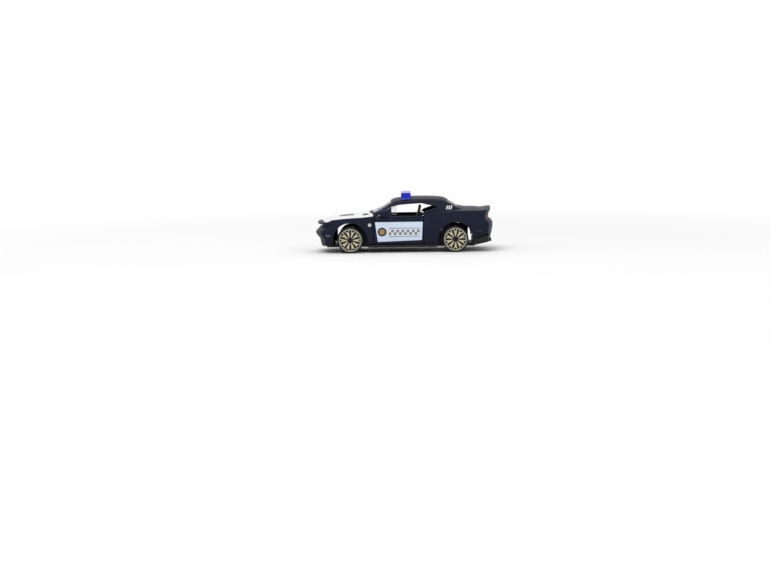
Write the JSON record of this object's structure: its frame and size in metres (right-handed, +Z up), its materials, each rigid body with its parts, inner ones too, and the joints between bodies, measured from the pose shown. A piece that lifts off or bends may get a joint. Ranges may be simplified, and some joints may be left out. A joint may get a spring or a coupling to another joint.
{
  "type": "toy police car",
  "caption": "Pocket-size die-cast toy police coupe with opening doors, rolling split-spoke wheels, see-through cabin and a blue roof light bar.",
  "frame": {"origin": "on the ground, under the middle of the car's length and width", "axes": "+X toward the tail, -X the nose, -Y the car's left side, +Z up"},
  "size_m": [0.0764, 0.0298, 0.0253],
  "materials": {
    "navy_paint": "satin gloss dark navy paint on a zinc casting",
    "black_plastic": "moulded black plastic",
    "clear_plastic": "clear moulded plastic",
    "blue_lens": "translucent blue plastic",
    "lamp_lens": "silver lamp inserts",
    "red_lens": "red lamp inserts",
    "steel": "drawn steel wire",
    "black_tyre": "matt black wheel moulding",
    "champagne_rim": "champagne gold metallised plastic"
  },
  "bodies": {
    "car_body": {"body_shell": "navy_paint", "chassis": "black_plastic", "interior": "black_plastic", "steering_wheel": "black_plastic", "grille": "black_plastic", "windscreen": "clear_plastic", "rear_screen": "clear_plastic", "light_bar": "blue_lens", "left_headlamp": "lamp_lens", "right_headlamp": "lamp_lens", "left_tail_lamp": "red_lens", "right_tail_lamp": "red_lens", "front_rivet": "steel", "rear_rivet": "steel"},
    "front_wheels": {"front_axle": "steel", "front_left_tyre": "black_tyre", "front_right_tyre": "black_tyre", "front_left_rim": "champagne_rim", "front_right_rim": "champagne_rim"},
    "rear_wheels": {"rear_axle": "steel", "rear_left_tyre": "black_tyre", "rear_right_tyre": "black_tyre", "rear_left_rim": "champagne_rim", "rear_right_rim": "champagne_rim"},
    "left_door_leaf": {"left_door": "navy_paint"},
    "right_door_leaf": {"right_door": "navy_paint"}
  },
  "joints": [
    {"name": "front_axle_spin", "type": "hinge", "parent": "car_body", "child": "front_wheels", "pos_m": [-0.02305, 0, 0.00556], "axis": [0, 1, 0], "continuous": true},
    {"name": "rear_axle_spin", "type": "hinge", "parent": "car_body", "child": "rear_wheels", "pos_m": [0.02185, 0, 0.00556], "axis": [0, 1, 0], "continuous": true},
    {"name": "left_door_hinge", "type": "hinge", "parent": "car_body", "child": "left_door_leaf", "pos_m": [-0.0108, -0.01184, 0.0037], "axis": [0, 0, -1], "range_deg": [0, 50]},
    {"name": "right_door_hinge", "type": "hinge", "parent": "car_body", "child": "right_door_leaf", "pos_m": [-0.0108, 0.01184, 0.0037], "axis": [0, 0, 1], "range_deg": [0, 50]}
  ]
}
